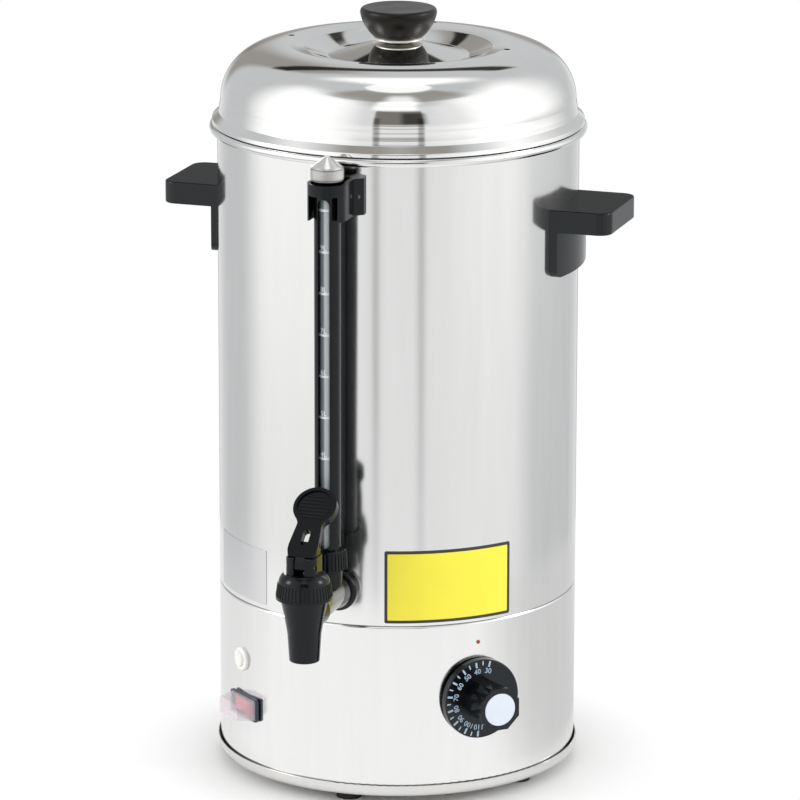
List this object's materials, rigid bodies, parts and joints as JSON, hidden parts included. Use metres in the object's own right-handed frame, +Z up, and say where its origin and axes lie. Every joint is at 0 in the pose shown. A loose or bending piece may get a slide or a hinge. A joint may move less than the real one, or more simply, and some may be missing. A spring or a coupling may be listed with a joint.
{
  "type": "hot water urn",
  "caption": "Cylindrical stainless steel hot water urn with a lift-off domed lid, side handles, lever tap, sight gauge tube, temperature dial and rocker switch.",
  "frame": {"origin": "on the urn's axis, on the plane its rubber feet stand on", "axes": "+Z up along the urn's axis, -Y the way the tap points, +X to the right as seen from the front"},
  "size_m": [0.291, 0.3221, 0.4813],
  "materials": {
    "polished_steel": "mirror polished stainless steel",
    "plain_steel": "plain bright steel",
    "tap_metal": "satin stainless steel",
    "gloss_black": "glossy black moulded plastic",
    "satin_black": "satin black moulded plastic",
    "white_plastic": "white moulded plastic",
    "pale_plastic": "pale grey moulded plastic",
    "red_plastic": "red translucent plastic",
    "clear_cover": "clear soft plastic hood",
    "clear_tube": "clear tube",
    "black_rubber": "black rubber",
    "white_rubber": "white silicone rubber",
    "spreader_metal": "bare aluminium",
    "element_metal": "dark heat-stained steel",
    "copper": "bare copper",
    "control_body": "brown moulded resin"
  },
  "bodies": {
    "urn": {"rubber_feet": "black_rubber", "foot_screws": "plain_steel", "pan_brackets": "plain_steel", "base_pan": "polished_steel", "base_skirt": "polished_steel", "tank_wall": "polished_steel", "tank_bottom": "polished_steel", "heat_spreader": "spreader_metal", "heating_element": "element_metal", "element_clamp": "plain_steel", "clamp_stud": "plain_steel", "clamp_nut": "plain_steel", "thermostat_bulb": "copper", "limiter_bulb": "copper", "thermostat_body": "control_body", "thermostat_screws": "plain_steel", "switch_housing": "gloss_black", "rocker_pin": "plain_steel", "splash_cover": "clear_cover", "reset_bezel": "pale_plastic", "limiter_body": "control_body", "cable_gland": "satin_black", "gland_nut": "satin_black", "terminal_block": "white_plastic", "earth_stud": "plain_steel", "tap_shank": "tap_metal", "wall_flange": "gloss_black", "shank_seals": "white_rubber", "shank_nut": "tap_metal", "tap_body": "gloss_black", "tap_bonnet": "gloss_black", "lever_pin": "plain_steel", "gauge_socket": "gloss_black", "gauge_lower_nut": "gloss_black", "gauge_glass": "clear_tube", "gauge_shield": "gloss_black", "gauge_seals": "white_rubber", "gauge_bracket": "gloss_black", "gauge_vent_bush": "gloss_black", "gauge_cap_nut": "tap_metal", "bracket_screws": "plain_steel", "handle_left": "gloss_black", "handle_right": "gloss_black", "handle_screws": "plain_steel", "handle_seals": "white_rubber"},
    "lid": {"lid_shell": "polished_steel", "lid_ring": "polished_steel", "lid_ferrule": "plain_steel", "lid_knob": "satin_black", "knob_washer": "plain_steel", "knob_screw": "plain_steel"},
    "lever": {"tap_lever": "gloss_black"},
    "stem": {"seat_cup": "white_rubber", "valve_stem": "plain_steel", "valve_spring": "plain_steel"},
    "dial": {"dial_shaft": "plain_steel", "dial_knob": "gloss_black", "dial_insert": "white_plastic"},
    "rocker": {"switch_rocker": "red_plastic"},
    "reset": {"reset_button": "pale_plastic"}
  },
  "joints": [
    {"name": "lid_lift", "type": "slide", "parent": "urn", "child": "lid", "axis": [0, 0, 1], "range_m": [0, 0.15]},
    {"name": "lever_pull", "type": "hinge", "parent": "urn", "child": "lever", "pos_m": [0, -0.1823, 0.173], "axis": [1, 0, 0], "range_deg": [0, 40], "stiffness_Nm_per_rad": 0.3, "springref_deg": -20.05},
    {"name": "stem_lift", "type": "slide", "parent": "urn", "child": "stem", "axis": [0, 0, 1], "range_m": [0, 0.0044], "deforming": ["valve_spring"]},
    {"name": "dial_turn", "type": "hinge", "parent": "urn", "child": "dial", "pos_m": [0.08315, -0.08373, 0.0686], "axis": [-0.7046, 0.7096, 0], "range_deg": [-13, 173]},
    {"name": "rocker_tilt", "type": "hinge", "parent": "urn", "child": "rocker", "pos_m": [-0.06976, -0.08615, 0.0494], "axis": [0, 0, 1], "range_deg": [0, 22]},
    {"name": "reset_press", "type": "slide", "parent": "urn", "child": "reset", "axis": [0.6561, 0.7547, 0], "range_m": [0, 0.0015], "stiffness_N_per_m": 500}
  ],
  "couplings": [
    {"joint": "stem_lift", "follows": "lever_pull", "m_per_rad": 0.0062}
  ]
}
